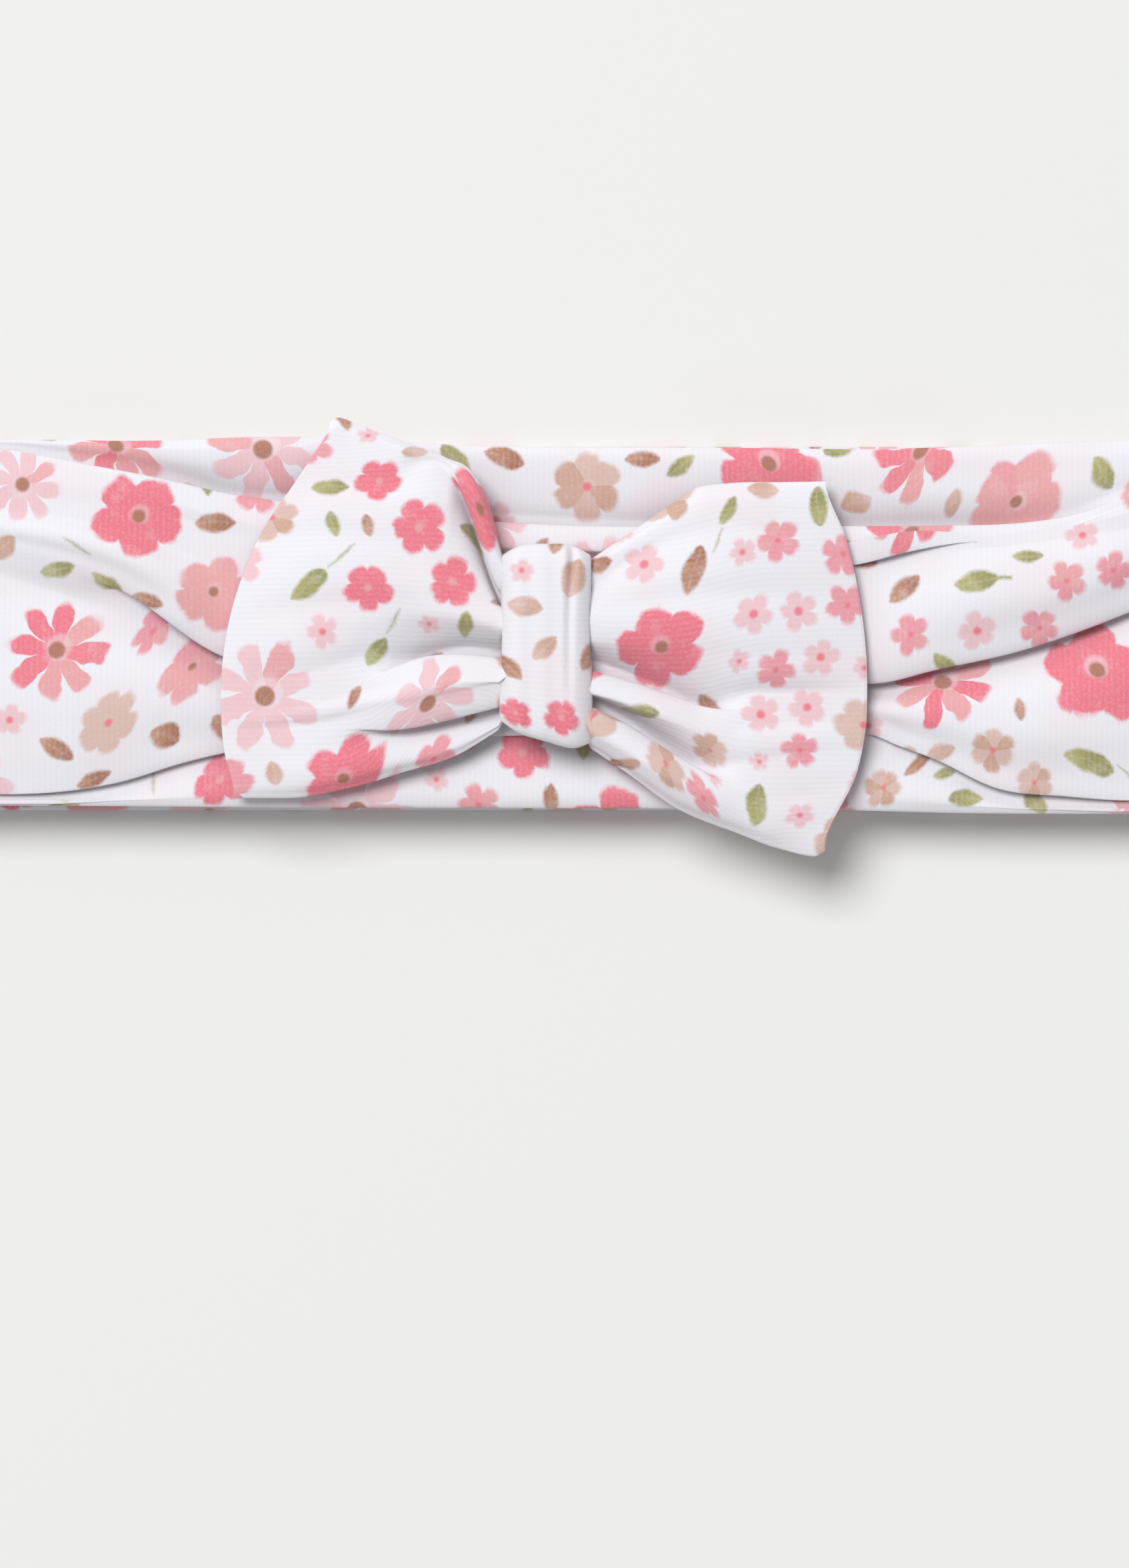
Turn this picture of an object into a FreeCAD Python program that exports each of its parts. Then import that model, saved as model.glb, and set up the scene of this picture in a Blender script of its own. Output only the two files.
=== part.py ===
"""Knotted baby headband: a two-ply jersey loop lying flat, its front pleated, with a bow held by a knot wrap.

Millimetres. +X runs along the band, +Y across it towards its upper edge, +Z up from the table.
The origin is under the middle of the whole object, on the table.
"""

import FreeCAD, Part  # in this order
import os

V = FreeCAD.Vector

# Loop, lying flat and a little lofted.
LOOP_HALF = 95.0  # half of the flattened loop's length
BAND_LOW, BAND_TOP = -24.9, 27.9  # lower and upper long edges
LOOP_HEIGHT = 10.4  # over the plain parts of both halves
PLY = 0.9  # one layer of jersey with its loft
PLY_GAP = 0.1  # between the two layers of the tube
CENTRE_HALF = 50.0  # the middle stretch that stays put when the ends are pulled
BODY_GAP = 0.3  # between the middle stretch and each end
EDGE_ROUND = PLY + PLY_GAP / 2  # radius of the sewn and turned long edges

# Pleats on the front.
PLEAT_HIGH = 2.1  # of the middle strand above the plain front
PLEAT_LOW = 1.2  # of the lower strand
PLEAT_END = 0.35  # what is left of either near the bends

# Bow and knot, drawn in the bow's own frame, which is turned on the band.
BOW_TILT = -6.0  # degrees about Z
KNOT_HALF = 6.65  # half the wrap's width
KNOT_LOW, KNOT_TOP = -16.0, 13.2
KNOT_CORNER = 3.2  # radius of the wrap's outer corners
WRAP_CLEAR = 0.1  # wrap above the pleats
WAIST_CLEAR = 0.3  # waist inside the wrap
WAIST_HALF = 6.8  # half the waist's length
KNOT_ROOM = 4.9  # height inside the wrap
WING_CLEAR = 0.3  # wings above the pleats
WING_THICK = 3.0  # both layers and the air between them
ROOT_X = 8.6  # from the bow's middle to each wing's gathered root
ROOT_R = WING_THICK / 2
ROOT_LOW, ROOT_TOP = -12.9, 11.5
WING_INNER = ROOT_X + ROOT_R + 0.1  # where the flat layers of a wing begin
SEAM_WIDTH = 2.5  # turned-in seam allowance round a wing

# Centre-back seam, label and stitches.
ALLOWANCE_HALF, ALLOWANCE_THICK = 4.0, 0.5
STITCH_THICK = 0.15
BACK_STITCHES, BACK_STITCH_LONG, BACK_STITCH_WIDE = 16, 2.0, 0.7
LABEL_WIDE, LABEL_LONG, LABEL_THICK = 14.0, 18.0, 0.25
TACK_THICK, TACK_LONG, TACK_WIDE, TACK_PITCH = 0.4, 3.0, 0.8, 6.0
CLOSING_THICK, CLOSING_LONG, CLOSING_WIDE, CLOSING_PITCH = 0.25, 2.2, 0.6, 4.0

# Worked out.
BEND_R = LOOP_HEIGHT / 2
BEND_X = LOOP_HALF - BEND_R
PLY_LOW, PLY_TOP = BAND_LOW + EDGE_ROUND, BAND_TOP - EDGE_ROUND
INNER_DROP = PLY + PLY_GAP  # from the outer layer's face to the inner layer's
FRONT_INSIDE = LOOP_HEIGHT - INNER_DROP - PLY
BACK_INSIDE = INNER_DROP + PLY
PLEAT_TOP = LOOP_HEIGHT + PLEAT_HIGH
WRAP_BASE = PLEAT_TOP + WRAP_CLEAR
ROOM_BASE = WRAP_BASE + PLY
ROOM_TOP = ROOM_BASE + KNOT_ROOM
WING_BASE = PLEAT_TOP + WING_CLEAR
HINGE_Z = WING_BASE + ROOT_R

# Strands of the pleated front as (x, upper edge, lower edge), left to right.
MIDDLE_STRAND = [
    (-88, 25.0, 12.0), (-50, 20.9, -1.5), (-8, 15.5, -4.0),
    (8, 15.0, -7.5), (50, 12.0, -6.0), (88, 19.0, 4.0),
]
LOWER_STRAND = [
    (-88, 11.8, -23.0), (-50, -1.7, -17.6), (-8, -4.2, -15.5),
    (8, -7.7, -16.0), (50, -6.2, -16.2), (88, 3.8, -23.5),
]


def box(x0, x1, y0, y1, z0, z1):
    return Part.makeBox(x1 - x0, y1 - y0, z1 - z0, V(x0, y0, z0))


def turned(shape):
    """The shape moved from the bow's own frame onto the band."""
    copy = shape.copy()
    copy.rotate(V(0, 0, 0), V(0, 0, 1), BOW_TILT)
    return copy


def mirrored_if(shape, side):
    """The shape as drawn for the right end, or its mirror image for the left one."""
    return shape if side > 0 else shape.mirror(V(0, 0, 0), V(1, 0, 0))


def fused(shapes):
    whole = shapes[0].multiFuse(shapes[1:]) if len(shapes) > 1 else shapes[0]
    return whole.removeSplitter()


def bent_ply(depth):
    """One layer round the right end: a front leg, a half-round bend and a back leg."""
    outside, inside = BEND_R - depth, BEND_R - depth - PLY
    start = CENTRE_HALF + BODY_GAP
    across = V(0, PLY_TOP - PLY_LOW, 0)
    middle = V(BEND_X, PLY_LOW, BEND_R)
    points = []
    for radius in (outside, inside):
        points.append([middle + V(0, 0, radius), middle + V(radius, 0, 0), middle - V(0, 0, radius)])
    (top_out, side_out, low_out), (top_in, side_in, low_in) = points
    leg = V(start - BEND_X, 0, 0)
    edges = [
        Part.makeLine(top_out + leg, top_out),
        Part.Arc(top_out, side_out, low_out).toShape(),
        Part.makeLine(low_out, low_out + leg),
        Part.makeLine(low_out + leg, low_in + leg),
        Part.makeLine(low_in + leg, low_in),
        Part.Arc(low_in, side_in, top_in).toShape(),
        Part.makeLine(top_in, top_in + leg),
        Part.makeLine(top_in + leg, top_out + leg),
    ]
    return Part.Face(Part.Wire(edges)).extrude(across)


def strand(stations, heights):
    """A raised strand of the pleated front, running straight between its stations."""
    pieces = []
    sink = PLY / 2  # into the plain front, so that the strand is one piece with it
    for a, b in zip(zip(stations, heights), zip(stations[1:], heights[1:])):
        wires = []
        for (x, upper, lower), height in (a, b):
            low, high = LOOP_HEIGHT - sink, LOOP_HEIGHT + height
            corners = [V(x, lower, low), V(x, upper, low), V(x, upper, high), V(x, lower, high)]
            wires.append(Part.makePolygon(corners + corners[:1]))
        pieces.append(Part.makeLoft(wires, True, True))
    return pieces


def edge_bar(x0, x1, y, z, outward):
    """A straight turned edge: half a round bar along X, bulging outward."""
    bar = Part.makeCylinder(EDGE_ROUND, x1 - x0, V(x0, y, z), V(1, 0, 0))
    y0, y1 = (y, y + EDGE_ROUND) if outward > 0 else (y - EDGE_ROUND, y)
    return bar.common(box(x0, x1, y0, y1, z - EDGE_ROUND, z + EDGE_ROUND))


def edge_bend(y, outward):
    """A turned edge round the right bend."""
    z = BEND_R + (BEND_R - EDGE_ROUND)
    rim = [
        V(BEND_X, y, z - EDGE_ROUND),
        V(BEND_X, y + outward * EDGE_ROUND, z),
        V(BEND_X, y, z + EDGE_ROUND),
    ]
    half_disc = Part.Face(Part.Wire([Part.Arc(*rim).toShape(), Part.makeLine(rim[2], rim[0])]))
    return half_disc.revolve(V(BEND_X, y, BEND_R), V(0, 1, 0), 180)


def centre_panels():
    """The middle stretch of the band: two layers at the front and two at the back."""
    y, x = (PLY_LOW, PLY_TOP), (-CENTRE_HALF, CENTRE_HALF)
    plain = box(*x, *y, LOOP_HEIGHT - PLY, LOOP_HEIGHT)
    middle = strand(MIDDLE_STRAND[1:-1], [PLEAT_HIGH] * 4)
    lower = strand(LOWER_STRAND[1:-1], [PLEAT_LOW] * 4)
    return {
        "outer_panel_front": fused([plain] + middle + lower),
        "inner_panel_front": box(*x, *y, FRONT_INSIDE, FRONT_INSIDE + PLY),
        "outer_panel_back": box(*x, *y, 0, PLY),
        "inner_panel_back": box(*x, *y, INNER_DROP, BACK_INSIDE),
    }


def centre_edge_seams():
    """The four turned edges of the middle stretch."""
    bars = []
    for z in (EDGE_ROUND, LOOP_HEIGHT - EDGE_ROUND):
        bars.append(edge_bar(-CENTRE_HALF, CENTRE_HALF, PLY_TOP, z, 1))
        bars.append(edge_bar(-CENTRE_HALF, CENTRE_HALF, PLY_LOW, z, -1))
    return Part.makeCompound(bars)


def end_outer_panel(side):
    """The outer layer round one end, with the strands running out along its front."""
    start = CENTRE_HALF + BODY_GAP
    pieces = [mirrored_if(bent_ply(0), side)]
    for stations, height in ((MIDDLE_STRAND, PLEAT_HIGH), (LOWER_STRAND, PLEAT_LOW)):
        near, far = (stations[-2], stations[-1]) if side > 0 else (stations[1], stations[0])
        near = (side * start, near[1], near[2])
        pieces += strand([near, far], [height, PLEAT_END])
    return fused(pieces)


def end_edge_seams(side):
    """The two turned edges round one end."""
    start, bars = CENTRE_HALF + BODY_GAP, []
    for y, outward in ((PLY_TOP, 1), (PLY_LOW, -1)):
        legs = [edge_bar(start, BEND_X, y, z, outward) for z in (EDGE_ROUND, LOOP_HEIGHT - EDGE_ROUND)]
        bars.append(mirrored_if(fused(legs + [edge_bend(y, outward)]), side))
    return Part.makeCompound(bars)


def wing_face(side, corner_top, belly, corner_low, top_run, low_run):
    """The plan of one wing: a straight root, two free edges and a curved outer edge."""
    def at(x, y):
        return V(side * x, y, 0)

    root_top, root_low = at(WING_INNER, ROOT_TOP), at(WING_INNER, ROOT_LOW)
    upper = [root_top] + [at(*p) for p in top_run] + [at(*corner_top)]
    lower = [at(*corner_low)] + [at(*p) for p in low_run] + [root_low]
    edges = [Part.makeLine(a, b) for a, b in zip(upper, upper[1:])]
    edges.append(Part.Arc(at(*corner_top), at(*belly), at(*corner_low)).toShape())
    edges += [Part.makeLine(a, b) for a, b in zip(lower, lower[1:])]
    edges.append(Part.makeLine(root_low, root_top))
    return Part.Face(Part.Wire(edges))


def wing(name, side, *outline):
    """One wing of the bow: two layers, the seam allowance turned in between them and the gathered root."""
    face = wing_face(side, *outline)
    allowance = WING_THICK - 2 * PLY
    core = Part.Face(face.OuterWire.makeOffset2D(-SEAM_WIDTH))
    rim = face.cut(core)
    root = Part.makeCylinder(ROOT_R, ROOT_TOP - ROOT_LOW, V(side * ROOT_X, ROOT_LOW, HINGE_Z), V(0, 1, 0))
    layers = {
        "back_ply": (face, WING_BASE, PLY),
        "edge_seam": (rim, WING_BASE + PLY, allowance),
        "front_ply": (face, WING_BASE + PLY + allowance, PLY),
    }
    made = {f"{name}_root_gather": turned(root)}
    for layer, (plan, z, thick) in layers.items():
        solid = plan.copy()
        solid.translate(V(0, 0, z))
        made[f"{name}_{layer}"] = turned(solid.extrude(V(0, 0, thick)))
    return made


def rounded_bar(half, y0, y1, z0, z1, radius, corners):
    """A block along X whose long edges at the given (y, z) corners are rounded."""
    block = box(-half, half, y0, y1, z0, z1)
    along = []
    for edge in block.Edges:
        a, b = edge.Vertexes[0].Point, edge.Vertexes[1].Point
        if abs(a.x - b.x) > half and (round(a.y, 3), round(a.z, 3)) in corners:
            along.append(edge)
    return block.makeFillet(radius, along)


def knot():
    """The wrap round the bow's waist, and the waist's two gathered layers inside it."""
    z0, z1 = WRAP_BASE, ROOM_TOP + PLY
    y0, y1 = KNOT_LOW, KNOT_TOP
    outer = rounded_bar(KNOT_HALF, y0, y1, z0, z1, KNOT_CORNER, corner_set(y0, y1, z0, z1))
    inside = (y0 + PLY, y1 - PLY, ROOM_BASE, ROOM_TOP)
    hole = rounded_bar(KNOT_HALF, *inside, KNOT_CORNER - PLY, corner_set(*inside))
    wy0, wy1 = inside[0] + WAIST_CLEAR, inside[1] - WAIST_CLEAR
    wz0, wz1 = ROOM_BASE + WAIST_CLEAR, ROOM_TOP - WAIST_CLEAR
    split = (wz0 + wz1) / 2
    radius = KNOT_CORNER - PLY - WAIST_CLEAR
    lower = rounded_bar(WAIST_HALF, wy0, wy1, wz0, split - PLY_GAP, radius, corner_set(wy0, wy1, wz0))
    upper = rounded_bar(WAIST_HALF, wy0, wy1, split, wz1, radius, corner_set(wy0, wy1, wz1))
    return {
        "knot_wrap": turned(outer.cut(hole)),
        "bow_waist_back_ply": turned(lower),
        "bow_waist_front_ply": turned(upper),
    }


def corner_set(y0, y1, *levels):
    return {(round(y, 3), round(z, 3)) for y in (y0, y1) for z in levels}


def stitch_row(count, pitch, middle, long, wide, z0, thick, along_y):
    """A row of short flat stitches as separate solids."""
    bars = []
    for i in range(count):
        step = (i - (count - 1) / 2) * pitch
        x, y = (middle[0], middle[1] + step) if along_y else (middle[0] + step, middle[1])
        bars.append(box(x - wide / 2, x + wide / 2, y - long / 2, y + long / 2, z0, z0 + thick))
    return Part.makeCompound(bars)


def sewing():
    """The centre-back seam, its label, and the stitches that hold the wrap and the bow."""
    seam_low, seam_top = PLY_LOW + 1, PLY_TOP - 1
    ridge_top = BACK_INSIDE + ALLOWANCE_THICK
    ridge = box(-ALLOWANCE_HALF, ALLOWANCE_HALF, seam_low, seam_top, BACK_INSIDE, ridge_top)
    middle_y = (seam_low + seam_top) / 2
    pitch = (seam_top - seam_low) / BACK_STITCHES
    seam_size = (BACK_STITCH_LONG, BACK_STITCH_WIDE, ridge_top, STITCH_THICK)
    back = stitch_row(BACK_STITCHES, pitch, (0, middle_y), *seam_size, True)
    label_low = middle_y - LABEL_WIDE / 2
    label = box(
        ALLOWANCE_HALF, ALLOWANCE_HALF + LABEL_LONG, label_low, label_low + LABEL_WIDE,
        BACK_INSIDE, BACK_INSIDE + LABEL_THICK,
    )
    tack_z, closing_y = FRONT_INSIDE - TACK_THICK, (KNOT_LOW + KNOT_TOP) / 2
    tacks = stitch_row(4, TACK_PITCH, (0, closing_y), TACK_LONG, TACK_WIDE, tack_z, TACK_THICK, True)
    closing = stitch_row(
        3, CLOSING_PITCH, (0, closing_y), CLOSING_LONG, CLOSING_WIDE, ROOM_BASE, CLOSING_THICK, False
    )
    return {
        "back_seam_allowance": ridge,
        "back_seam_stitches": back,
        "care_label": label,
        "bow_tack_stitches": turned(tacks),
        "knot_wrap_stitches": turned(closing),
    }


def model():
    parts = centre_panels()
    parts["edge_seams_centre"] = centre_edge_seams()
    for name, side in (("left", -1), ("right", 1)):
        parts[f"outer_panel_{name}"] = end_outer_panel(side)
        parts[f"inner_panel_{name}"] = mirrored_if(bent_ply(INNER_DROP), side)
        parts[f"edge_seams_{name}"] = end_edge_seams(side)
    left_outline = ((34.1, 28.2), (44.8, 1.0), (42.7, -27.3), [(11.6, 20.3), (21.8, 25.9)], [(18, -20.9)])
    right_outline = ((37.8, 26.3), (47.1, 0.5), (42.5, -27.3), [(15.8, 20.3), (25, 24.4)], [(20, -21.0)])
    parts.update(wing("left_wing", -1, *left_outline))
    parts.update(wing("right_wing", 1, *right_outline))
    parts.update(knot())
    parts.update(sewing())
    return parts


os.makedirs("parts", exist_ok=True)
for node, shape in model().items():
    assert shape.isValid(), node
    shape.exportStep(f"parts/{node}.step")
    print(node, len(shape.Solids), "solids", round(shape.Volume, 1), "mm3")
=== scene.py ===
# Looks of the knotted baby headband: a pleated jersey loop, its bow and knot, and a small floral print.
import math
from functools import partialmethod

import bpy
import numpy as np
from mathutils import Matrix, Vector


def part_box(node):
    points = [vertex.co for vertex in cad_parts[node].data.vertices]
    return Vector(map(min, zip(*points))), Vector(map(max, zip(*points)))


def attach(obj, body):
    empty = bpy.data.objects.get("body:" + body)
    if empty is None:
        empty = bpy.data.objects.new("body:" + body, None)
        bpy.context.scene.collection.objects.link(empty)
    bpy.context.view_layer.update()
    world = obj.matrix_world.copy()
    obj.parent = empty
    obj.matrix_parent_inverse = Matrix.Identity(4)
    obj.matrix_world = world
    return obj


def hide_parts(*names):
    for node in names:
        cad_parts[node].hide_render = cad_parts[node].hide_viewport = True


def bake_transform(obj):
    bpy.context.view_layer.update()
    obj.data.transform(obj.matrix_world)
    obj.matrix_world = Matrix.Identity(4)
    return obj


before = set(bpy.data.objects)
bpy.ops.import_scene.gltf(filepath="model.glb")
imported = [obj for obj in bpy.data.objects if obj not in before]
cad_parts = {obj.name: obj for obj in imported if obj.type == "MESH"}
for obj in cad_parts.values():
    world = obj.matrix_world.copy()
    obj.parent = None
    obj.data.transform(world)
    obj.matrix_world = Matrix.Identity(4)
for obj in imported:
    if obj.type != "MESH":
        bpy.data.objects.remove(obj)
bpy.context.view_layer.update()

MM = 0.001

# Sizes in millimetres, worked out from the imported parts.


def corner(node, end):
    """The lowest (0) or highest (1) corner of a CAD node, in millimetres."""
    return np.array(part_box(node)[end]) / MM


LOOP_HEIGHT = corner("edge_seams_centre", 1)[2]  # of the front's flat face, over the floor
LOOP_HALF = corner("outer_panel_right", 1)[0]
INNER = -(LOOP_HEIGHT - corner("inner_panel_front", 0)[2])  # of the cloth's inner side, over that face
BEND_R = LOOP_HEIGHT / 2
BEND_X = LOOP_HALF - BEND_R  # where the front ends and the bend begins
WING_BASE = corner("left_wing_back_ply", 0)[2]
KNOT_BASE, KNOT_TOP = corner("knot_wrap", 0)[2], corner("knot_wrap", 1)[2]
HINGE_X = abs(corner("right_wing_root_gather", 0)[0] + corner("right_wing_root_gather", 1)[0]) / 2

OVER, UNDER = 1, -1  # a fold whose upper side lies in front, and one whose lower side does

# --- Curves and cloth surfaces --------------------------------------------------------------------


def smooth(table, x):
    """A smooth curve through the table's (position, value, ...) rows, level beyond its ends."""
    rows = np.array(table, float)
    knots, values = rows[:, 0], rows[:, 1:]
    width = np.diff(knots)[:, None]
    chord = np.diff(values, axis=0) / width
    slope = np.zeros_like(values)
    slope[1:-1] = (chord[1:] * width[:-1] + chord[:-1] * width[1:]) / (width[1:] + width[:-1])
    slope[1:-1][chord[1:] * chord[:-1] <= 0] = 0
    at = np.clip(np.atleast_1d(x), knots[0], knots[-1])
    i = np.clip(np.searchsorted(knots, at) - 1, 0, len(knots) - 2)
    w = width[i]
    t = (at[:, None] - knots[i][:, None]) / w
    start, end = values[i], values[i + 1]
    return (
        start * (1 + 2 * t) * (1 - t) ** 2
        + end * t**2 * (3 - 2 * t)
        + slope[i] * w * t * (1 - t) ** 2
        - slope[i + 1] * w * t**2 * (1 - t)
    )


def level(table, x):
    """smooth() for a table of (position, value) rows, or for a plain number."""
    return smooth(table, x)[:, 0] if isinstance(table, list) else np.full(np.size(x), float(table))


def spline(control, per_span):
    """Uniform cubic B-splines along axis 1 of control, which they reach at both ends."""
    p = np.pad(control, ((0, 0), (2, 2), (0, 0)), mode="edge")
    t = (np.arange(per_span) / per_span)[None, None, :, None]
    a, b, c, d = (p[:, k : p.shape[1] - 3 + k, None, :] for k in range(4))
    near = b * (3 * t**3 - 6 * t**2 + 4) + c * (-3 * t**3 + 3 * t**2 + 3 * t + 1)
    curve = (a * (1 - t) ** 3 + near + d * t**3) / 6
    flat = curve.reshape(len(p), -1, p.shape[2])
    return np.concatenate([flat, control[:, -1:]], 1)


def ripple(a, b, seed, waves=7):
    """Soft irregular ripples between about -1 and 1, finer along a than along b."""
    rng = np.random.default_rng(seed)
    total = np.zeros(np.broadcast(a, b).shape)
    for k in range(waves):
        fine, coarse, phase = rng.uniform(0.6, 1.9), rng.uniform(-0.5, 0.5), rng.uniform(0, 2 * math.pi)
        total += np.sin(2 * math.pi * (fine * a + coarse * b) + phase) / waves * 1.7
    return total


# A fold seen in section: offsets across the cloth, and how far down from the front strand to the back one.
# Open offsets are shares of the rail's soft half-width.
FOLDED = [
    (3.5, 0.02), (1.2, 0.2), (-0.5, 0.5), (0.5, 0.62), ("tuck", 0.62), ("deep", 0.8), ("tuck", 1.0),
    (0, 1.3), (-1.6, 1.0),
]
UNFOLDED = [
    (1.0, 0.0), (0.72, 0.07), (0.46, 0.2), (0.22, 0.36), (0, 0.5), (-0.22, 0.64), (-0.46, 0.8),
    (-0.72, 0.93), (-1.0, 1.0),
]
SOFT = 3.4  # the usual half-width of an opened-out fold
ROOM_TO_BULGE = 5.0  # millimetres of plain cloth between two folds, under which a strand bulges less
STRAND = ((0.25, 0.8), (0.5, 1.0), (0.75, 0.8))  # share of the way across a strand, and share of its bulge
DEEP = 0.6  # millimetres that a shut fold's inmost point lies beyond its tuck
OPEN_SHARE, SHUT_SHARE = 0.34, 0.9  # the most of a strand's width that an open or a shut fold may cover
NARROWEST = 0.1  # millimetres that two rails keep apart
PER_SPAN = 5  # points between two control points
BACK_SHARES = (0, 0.5, 0.8, 0.95)  # control points of a back layer, from its middle out to an edge
EDGE_COLUMN = 9 * PER_SPAN  # where a section's face begins, counted from the middle of its back layer
EDGE_FADE = 15  # columns over which a face turns into its edge


def fold_points(kind, shut, tuck, soft, above, below):
    """(offset, height) of a fold's control points at each station, from the upper edge downward."""
    front, back = (above, below) if kind == OVER else (below, above)
    points = []
    for (offset, drop), (open_offset, open_drop) in zip(FOLDED, UNFOLDED):
        if offset == "tuck":
            offset = tuck
        elif offset == "deep":
            offset = tuck + DEEP
        across = shut * offset + (1 - shut) * open_offset * soft
        down = shut * drop + (1 - shut) * open_drop
        points.append((across * kind, front + (back - front) * down))
    return points if kind == OVER else points[::-1]


def front_face(stations, rails):
    """Control points (x, y, height) of a cloth's face at each station, from its upper to its lower edge.

    A rail is a line along the cloth: an edge, a fold, or plain cloth between. Its tables go by station.
    path has the rail's (x, y), and height the cloth's there, or above and below those of its two sides.
    kind is the side of a fold that lies in front, tuck how deep the other one runs in under it, shut how
    far it is shut, and soft its half-width where it opens out. puff is how high the strand between this
    rail and the next one bulges.
    """
    paths = [smooth(rail["path"], stations) for rail in rails]
    gaps = [np.maximum(a[:, 1] - b[:, 1], NARROWEST) for a, b in zip(paths, paths[1:])]
    puffs = [level(rail["puff"], stations) for rail in rails[:-1]]
    groups = []
    for k, (rail, path) in enumerate(zip(rails, paths)):
        above, below = (level(rail.get(side, rail.get("height")), stations) for side in ("above", "below"))
        if "kind" not in rail:
            bulge = (puffs[k - 1] + puffs[k]) / 2 if 0 < k < len(rails) - 1 else 0
            groups.append([np.stack([*path.T, (above + below) / 2 + bulge], -1)])
            continue
        narrower = np.minimum(gaps[k - 1], gaps[k])
        soft = np.minimum(level(rail.get("soft", SOFT), stations), OPEN_SHARE * narrower)
        shut, tuck = level(rail["shut"], stations), level(rail["tuck"], stations)
        upward = (paths[k - 1] - path) / gaps[k - 1][:, None]
        downward = (path - paths[k + 1]) / gaps[k][:, None]
        group = []
        for offset, height in fold_points(rail["kind"], shut, tuck, soft, above, below):
            moved = np.clip(offset, -gaps[k] * SHUT_SHARE, gaps[k - 1] * SHUT_SHARE)[:, None]
            place = path + np.maximum(moved, 0) * upward + np.minimum(moved, 0) * downward
            group.append(np.concatenate([place, height[:, None]], 1))
        groups.append(group)
    # Between two rails, a strand bulges.
    rows = []
    for k, (group, following) in enumerate(zip(groups, groups[1:])):
        rows += group if k else []
        a, b = group[-1], following[0]
        bulge = puffs[k] * np.clip((a[:, 1] - b[:, 1]) / ROOM_TO_BULGE, 0, 1)
        for share, rise in STRAND:
            row = a + (b - a) * share
            row[:, 2] += bulge * rise
            rows.append(row)
    return [row.T for row in rows]


def turned_edge(edge, middle, face_height, back_height, rounding):
    """Control points from the middle of a back layer outward, and round one edge up onto the face."""
    out, rise = edge[:, 1], face_height - back_height
    steps = [(middle + (out - middle) * share, back_height) for share in BACK_SHARES]
    steps += [
        (out - rounding * 0.5, back_height),
        (out + rounding * 0.12, back_height + rise * 0.3),
        (out + rounding * 0.12, back_height + rise * 0.7),
        (out - rounding * 0.5, face_height),
    ]
    return [(edge[:, 0], y, height) for y, height in steps]


def closed_section(stations, rails, edge_share, back_height, rounding):
    """A cloth's section at each station: its face, closed round its two turned edges and a plain back.

    edge_share is the turned edges' share of the height that their rails give.
    """
    top, low = (smooth(rail["path"], stations) for rail in (rails[0], rails[-1]))
    heights = [edge_share * level(rail["height"], stations) for rail in (rails[0], rails[-1])]
    middle = (top[:, 1] + low[:, 1]) / 2
    upper = turned_edge(top, middle, heights[0], back_height, rounding)
    lower = turned_edge(low, middle, heights[1], back_height, -rounding)
    loop = upper + front_face(stations, rails) + lower[::-1]
    control = np.stack([np.stack(np.broadcast_arrays(*row), -1) for row in loop], 1)
    return spline(control, PER_SPAN)


def towards_edge(columns):
    """0 over most of a closed section's face, rising to 1 at its turned edges and along its back layer."""
    from_end = np.minimum(np.arange(columns), np.arange(columns)[::-1])
    return np.clip((EDGE_COLUMN + EDGE_FADE - from_end) / EDGE_FADE, 0, 1)


def clear_of_back(height, floor):
    """Keeps a section's folds above its back layer."""
    face = towards_edge(height.shape[1]) < 1
    return np.where(face, np.maximum(height, floor), height)


def outline_x(paths, y):
    """The x at which each station's line through its rails passes each y."""
    lines = np.stack(paths, 1)[:, ::-1, ::-1]
    return np.stack([smooth(line, at)[:, 0] for line, at in zip(lines, y)])


def added(name, data):
    """A new object in the scene."""
    thing = bpy.data.objects.new(name, data)
    bpy.context.scene.collection.objects.link(thing)
    return thing


def set_attribute(mesh, name, kind, values):
    """Gives a mesh an attribute with one vector or colour for each corner of its faces."""
    field = "color" if kind == "FLOAT_COLOR" else "vector"
    mesh.attributes.new(name, kind, "CORNER").data.foreach_set(field, values.astype(np.float32).ravel())


def cloth_mesh(name, points, fabric, motifs):
    """A mesh over a grid of points in millimetres, welded where the grid meets itself.

    Its fabric coordinates and the print's attributes lie round each face, so they may change at a weld.
    """
    rows, columns = points.shape[:2]
    index = np.arange(rows * columns).reshape(rows, columns)
    quads = np.stack([index[:-1, :-1], index[1:, :-1], index[1:, 1:], index[:-1, 1:]], -1).reshape(-1, 4)
    places, welded = np.unique(points.reshape(-1, 3).round(5), axis=0, return_inverse=True)
    mesh = bpy.data.meshes.new(name)
    mesh.from_pydata((places * MM).tolist(), [], welded.reshape(-1)[quads].tolist())
    flat = fabric.reshape(-1, 2)
    set_attribute(mesh, "fabric", "FLOAT_VECTOR", np.pad(flat[quads.ravel()], ((0, 0), (0, 1))))
    print_motifs(mesh, flat, quads, motifs)
    mesh.shade_smooth()
    return added(name, mesh)


SPREAD = 14  # sections each way over which the length that a fold takes up is shared


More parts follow.
